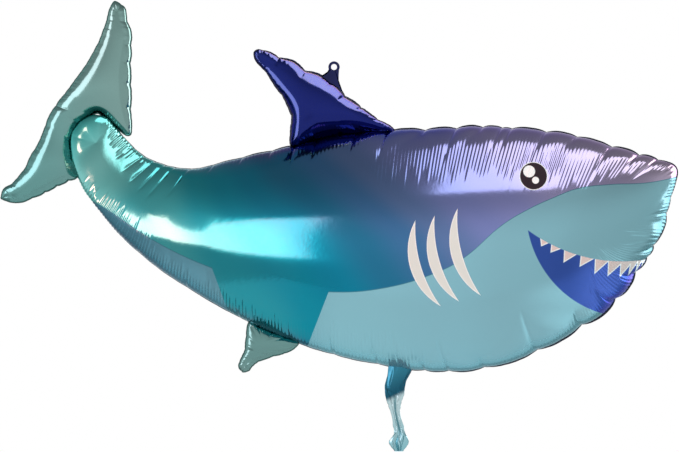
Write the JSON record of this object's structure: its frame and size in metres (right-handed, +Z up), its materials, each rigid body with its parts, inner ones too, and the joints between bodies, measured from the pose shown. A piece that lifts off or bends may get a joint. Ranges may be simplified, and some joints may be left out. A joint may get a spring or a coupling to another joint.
{
  "type": "shark-shaped foil balloon",
  "caption": "Foil balloon shaped like a shark, with a pillow body, welded seams, fins, a forked tail, a hang tab and an inflation neck.",
  "frame": {"origin": "centre of lift of the filled body, in the plane of the seams", "axes": "+X towards the nose, +Z up, so the seams lie in the XZ plane and the shark's left side faces +Y"},
  "size_m": [1.0392, 0.294, 0.6979],
  "materials": {
    "body_foil": "gloss",
    "seam_foil": "satin",
    "dorsal_foil": "gloss",
    "tail_foil": "gloss",
    "neck_foil": "gloss"
  },
  "bodies": {
    "root": {"body_panel_right": "body_foil", "body_panel_left": "body_foil", "body_seam": "seam_foil", "dorsal_fin_panel_right": "dorsal_foil", "dorsal_fin_panel_left": "dorsal_foil", "dorsal_fin_seam": "dorsal_foil", "hang_tab": "dorsal_foil", "tail_fin_panel_right": "tail_foil", "tail_fin_panel_left": "tail_foil", "tail_fin_seam": "tail_foil", "ventral_fin_panel_right": "tail_foil", "ventral_fin_panel_left": "tail_foil", "ventral_fin_seam": "tail_foil", "inflation_neck": "neck_foil"}
  },
  "joints": []
}
